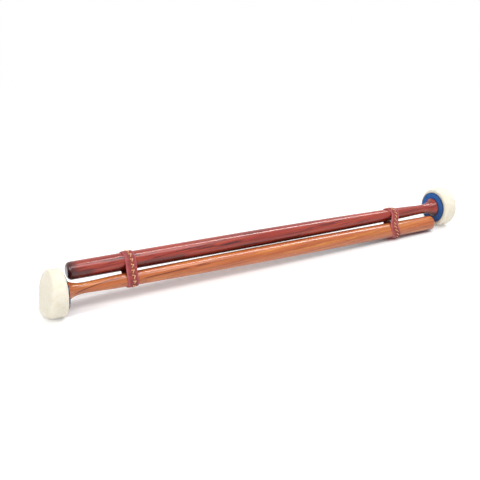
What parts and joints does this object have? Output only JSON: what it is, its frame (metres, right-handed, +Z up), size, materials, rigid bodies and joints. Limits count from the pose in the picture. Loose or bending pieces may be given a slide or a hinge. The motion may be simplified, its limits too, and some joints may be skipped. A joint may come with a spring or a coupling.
{
  "type": "percussion mallet",
  "caption": "Felt-headed percussion mallets with turned wooden shafts, laid head to tail as a matched set and bound by stitched leather loops that slide.",
  "frame": {"origin": "on the ground, under the middle of the pair's bounding box", "axes": "+X along the shafts, from the front mallet's head to the rear mallet's head; +Y from the front mallet to the rear one; +Z up"},
  "size_m": [0.4069, 0.047, 0.0366],
  "materials": {
    "orange_wood": "semi-gloss clear lacquer over streaked orange-brown hardwood",
    "red_wood": "semi-gloss clear lacquer over dark red hardwood",
    "white_felt": "soft cream wool felt",
    "blue_felt": "dense blue wool felt",
    "core_wood": "bare light wood",
    "core_felt": "hard grey-white felt",
    "cotton_thread": "waxed cotton",
    "red_leather": "red-brown leather, soft sheen",
    "gold_thread": "pale gold waxed thread"
  },
  "bodies": {
    "front_mallet": {"front_shaft": "orange_wood", "front_backing_disc": "blue_felt", "front_core": "core_wood", "front_core_felt": "core_felt", "front_cover": "white_felt", "front_cover_thread": "cotton_thread"},
    "rear_mallet": {"rear_shaft": "red_wood", "rear_backing_disc": "blue_felt", "rear_core": "core_wood", "rear_core_felt": "core_felt", "rear_cover": "white_felt", "rear_cover_thread": "cotton_thread"},
    "left_loop": {"left_loop_leather": "red_leather", "left_loop_stitching": "gold_thread"},
    "right_loop": {"right_loop_leather": "red_leather", "right_loop_stitching": "gold_thread"}
  },
  "joints": [
    {"name": "rear_mallet_slide", "type": "slide", "parent": "front_mallet", "child": "rear_mallet", "axis": [0.9996, 0, -0.028], "range_m": [-0.003, 0.39]},
    {"name": "left_loop_slide", "type": "slide", "parent": "front_mallet", "child": "left_loop", "axis": [-0.9996, 0, 0.028], "range_m": [0, 0.038]},
    {"name": "right_loop_slide", "type": "slide", "parent": "rear_mallet", "child": "right_loop", "axis": [0.9996, 0, -0.028], "range_m": [0, 0.038]}
  ]
}
